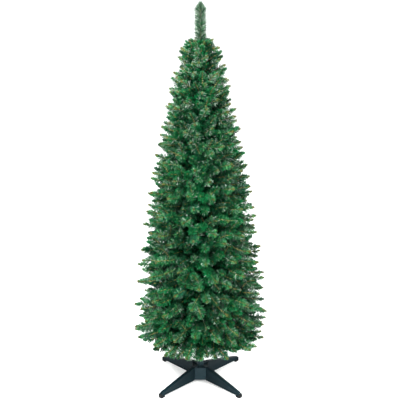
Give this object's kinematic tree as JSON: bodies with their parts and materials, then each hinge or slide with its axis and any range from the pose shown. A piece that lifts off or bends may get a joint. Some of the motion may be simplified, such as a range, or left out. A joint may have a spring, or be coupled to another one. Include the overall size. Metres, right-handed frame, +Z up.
{
  "type": "artificial christmas tree",
  "caption": "Slim artificial fir Christmas tree: a stepped pole carries tiers of needled wire branches, on a moulded four-legged cross stand.",
  "frame": {"origin": "on the floor, straight under the pole", "axes": "+Z up along the pole; -Y is the front, and the hub's flat sides face along X and Y"},
  "size_m": [0.5242, 0.5265, 1.5],
  "materials": {
    "needles": "matte green needle film",
    "pole_paint": "satin green paint",
    "stand_plastic": "fine moulded texture, dark blue-grey",
    "foot_tread": "matte black"
  },
  "bodies": {
    "root": {"needles_01": "needles", "needles_02": "needles", "needles_03": "needles", "needles_04": "needles", "needles_05": "needles", "needles_06": "needles", "needles_07": "needles", "needles_08": "needles", "needles_09": "needles", "needles_10": "needles", "needles_11": "needles", "needles_12": "needles", "needles_13": "needles", "needles_14": "needles", "needles_15": "needles", "needles_16": "needles", "needles_17": "needles", "needles_18": "needles", "needles_19": "needles", "needles_20": "needles", "needles_21": "needles", "needles_22": "needles", "needles_23": "needles", "needles_24": "needles", "needles_25": "needles", "needles_26": "needles", "needles_27": "needles", "needles_28": "needles", "needles_29": "needles", "needles_30": "needles", "needles_31": "needles", "needles_32": "needles", "needles_33": "needles", "needles_34": "needles", "needles_35": "needles", "needles_36": "needles", "needles_37": "needles", "needles_38": "needles", "needles_39": "needles", "needles_40": "needles", "needles_41": "needles", "needles_42": "needles", "needles_43": "needles", "needles_44": "needles", "needles_45": "needles", "needles_46": "needles", "needles_47": "needles", "pole": "pole_paint", "stand_foot_1": "foot_tread", "stand_foot_2": "foot_tread", "stand_foot_3": "foot_tread", "stand_foot_4": "foot_tread", "stand_hub": "stand_plastic", "stand_leg_1": "stand_plastic", "stand_leg_2": "stand_plastic", "stand_leg_3": "stand_plastic", "stand_leg_4": "stand_plastic", "top_leader": "needles"}
  },
  "joints": []
}
